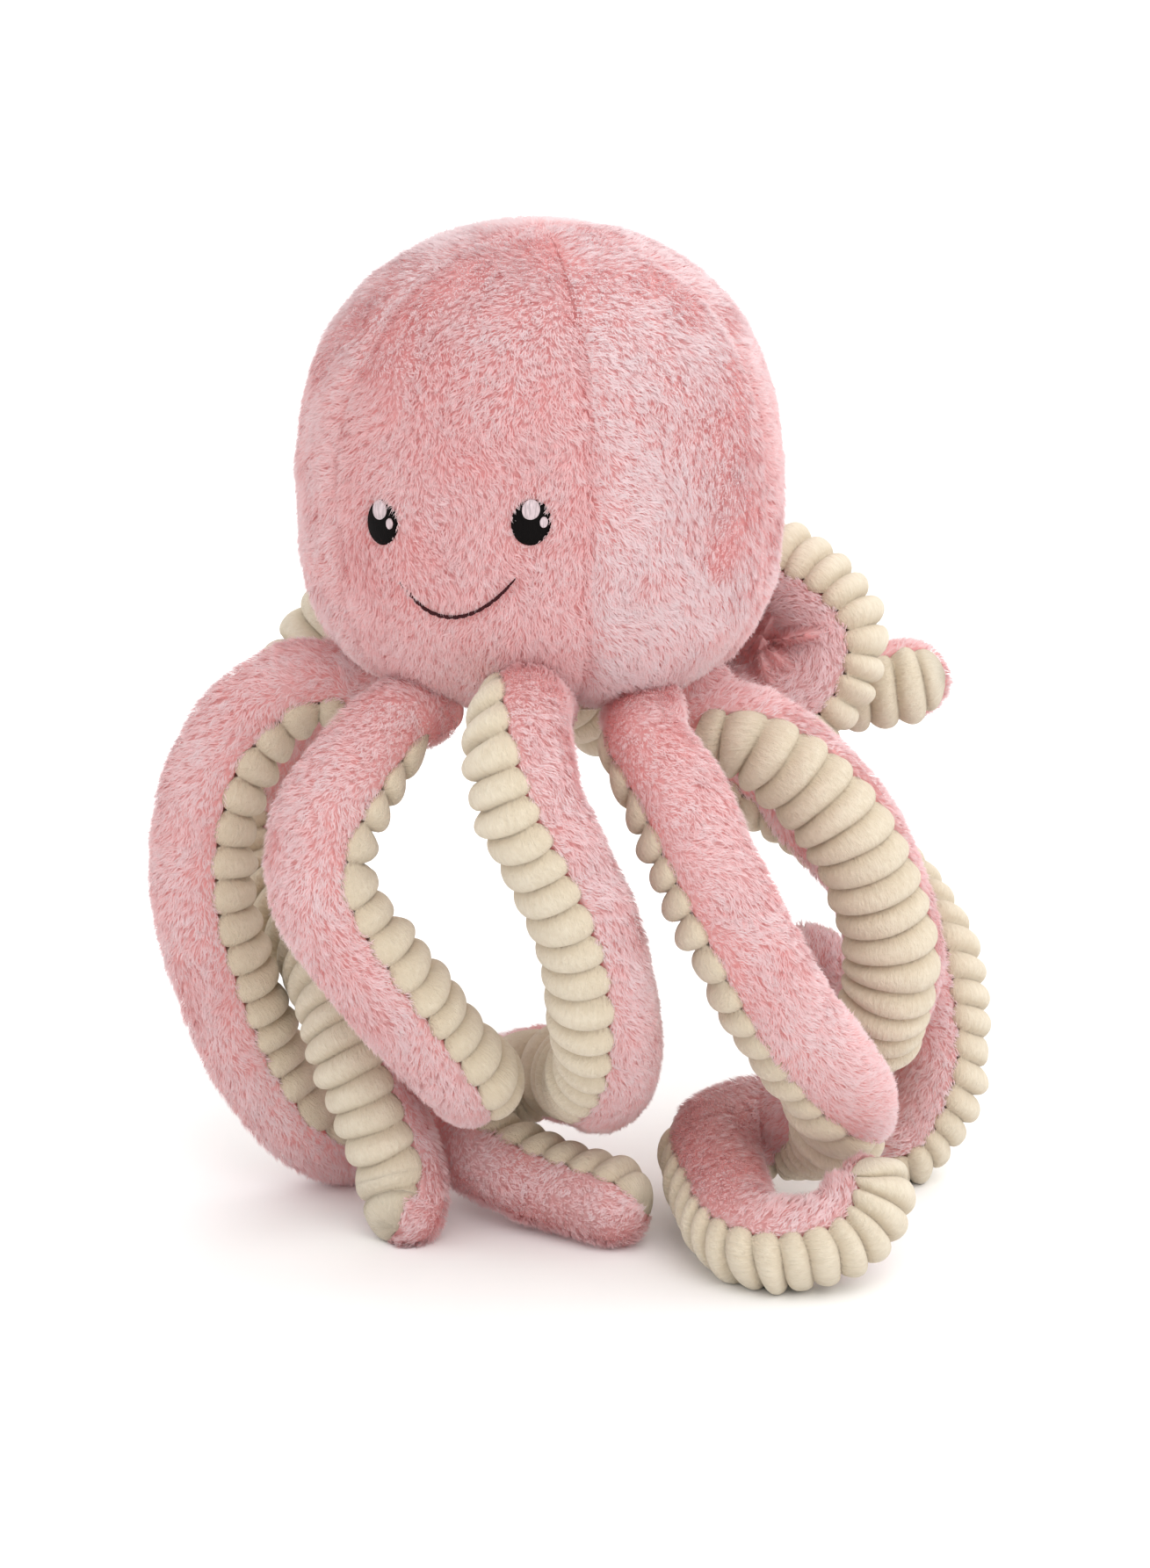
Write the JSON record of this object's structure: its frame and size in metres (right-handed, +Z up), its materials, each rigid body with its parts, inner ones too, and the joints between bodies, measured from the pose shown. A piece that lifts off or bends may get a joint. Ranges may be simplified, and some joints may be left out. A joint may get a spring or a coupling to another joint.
{
  "type": "stuffed octopus",
  "caption": "Stuffed octopus in pink plush with a big round head, a stitched smiling face and long curling arms with cream ribbed undersides, standing on its arm ends.",
  "frame": {"origin": "on the floor, under the middle of the whole toy's outline", "axes": "+Z up, the face looks along -Y, +X is towards the toy's side that is on the right as it is seen from the front"},
  "size_m": [0.3998, 0.3628, 0.489],
  "materials": {
    "pink_plush": "long soft pile",
    "cream_plush": "short soft pile over padded ribs",
    "filling": "loose fibre",
    "black_thread": "satin-stitched thread",
    "white_thread": "satin-stitched thread"
  },
  "bodies": {
    "head": {"gore_face": "pink_plush", "gore_right_cheek": "pink_plush", "gore_right_nape": "pink_plush", "gore_nape": "pink_plush", "gore_left_nape": "pink_plush", "gore_left_cheek": "pink_plush", "head_filling": "filling", "base_patch": "cream_plush", "eye_left": "black_thread", "glint_left": "white_thread", "spark_left": "white_thread", "eye_right": "black_thread", "glint_right": "white_thread", "spark_right": "white_thread", "smile": "black_thread"},
    "arm_left_front": {"sleeve_left_front": "pink_plush", "ribs_left_front": "cream_plush"},
    "arm_front_left": {"sleeve_front_left": "pink_plush", "ribs_front_left": "cream_plush"},
    "arm_front_right": {"sleeve_front_right": "pink_plush", "ribs_front_right": "cream_plush"},
    "arm_right_front": {"sleeve_right_front": "pink_plush", "ribs_right_front": "cream_plush"},
    "arm_right_back": {"sleeve_right_back": "pink_plush", "ribs_right_back": "cream_plush"},
    "arm_back_right": {"sleeve_back_right": "pink_plush", "ribs_back_right": "cream_plush"},
    "arm_back_left": {"sleeve_back_left": "pink_plush", "ribs_back_left": "cream_plush"},
    "arm_left_back": {"sleeve_left_back": "pink_plush", "ribs_left_back": "cream_plush"}
  },
  "joints": [
    {"name": "left_front_root", "type": "hinge", "parent": "head", "child": "arm_left_front", "pos_m": [-0.07681, -0.04674, 0.26803], "axis": [-0.3827, 0.9239, 0], "range_deg": [-1, 28]},
    {"name": "front_left_root", "type": "hinge", "parent": "head", "child": "arm_front_left", "pos_m": [-0.03892, -0.08463, 0.26803], "axis": [-0.9239, 0.3827, 0], "range_deg": [-5, 28]},
    {"name": "front_right_root", "type": "hinge", "parent": "head", "child": "arm_front_right", "pos_m": [0.01465, -0.08463, 0.26803], "axis": [-0.9239, -0.3827, 0], "range_deg": [-12, 2]},
    {"name": "right_front_root", "type": "hinge", "parent": "head", "child": "arm_right_front", "pos_m": [0.05253, -0.04674, 0.26803], "axis": [-0.3827, -0.9239, 0], "range_deg": [-2, 25]},
    {"name": "right_back_root", "type": "hinge", "parent": "head", "child": "arm_right_back", "pos_m": [0.05253, 0.00683, 0.26803], "axis": [0.6088, 0.7934, 0], "range_deg": [-15, 15]},
    {"name": "back_right_root", "type": "hinge", "parent": "head", "child": "arm_back_right", "pos_m": [0.01465, 0.04472, 0.26803], "axis": [0.9239, -0.3827, 0], "range_deg": [-5, 8]},
    {"name": "back_left_root", "type": "hinge", "parent": "head", "child": "arm_back_left", "pos_m": [-0.03892, 0.04472, 0.26803], "axis": [0.9239, 0.3827, 0], "range_deg": [-5, 25]},
    {"name": "left_back_root", "type": "hinge", "parent": "head", "child": "arm_left_back", "pos_m": [-0.07681, 0.00683, 0.26803], "axis": [-0.561, -0.4305, -0.7071], "range_deg": [-2, 15]}
  ]
}
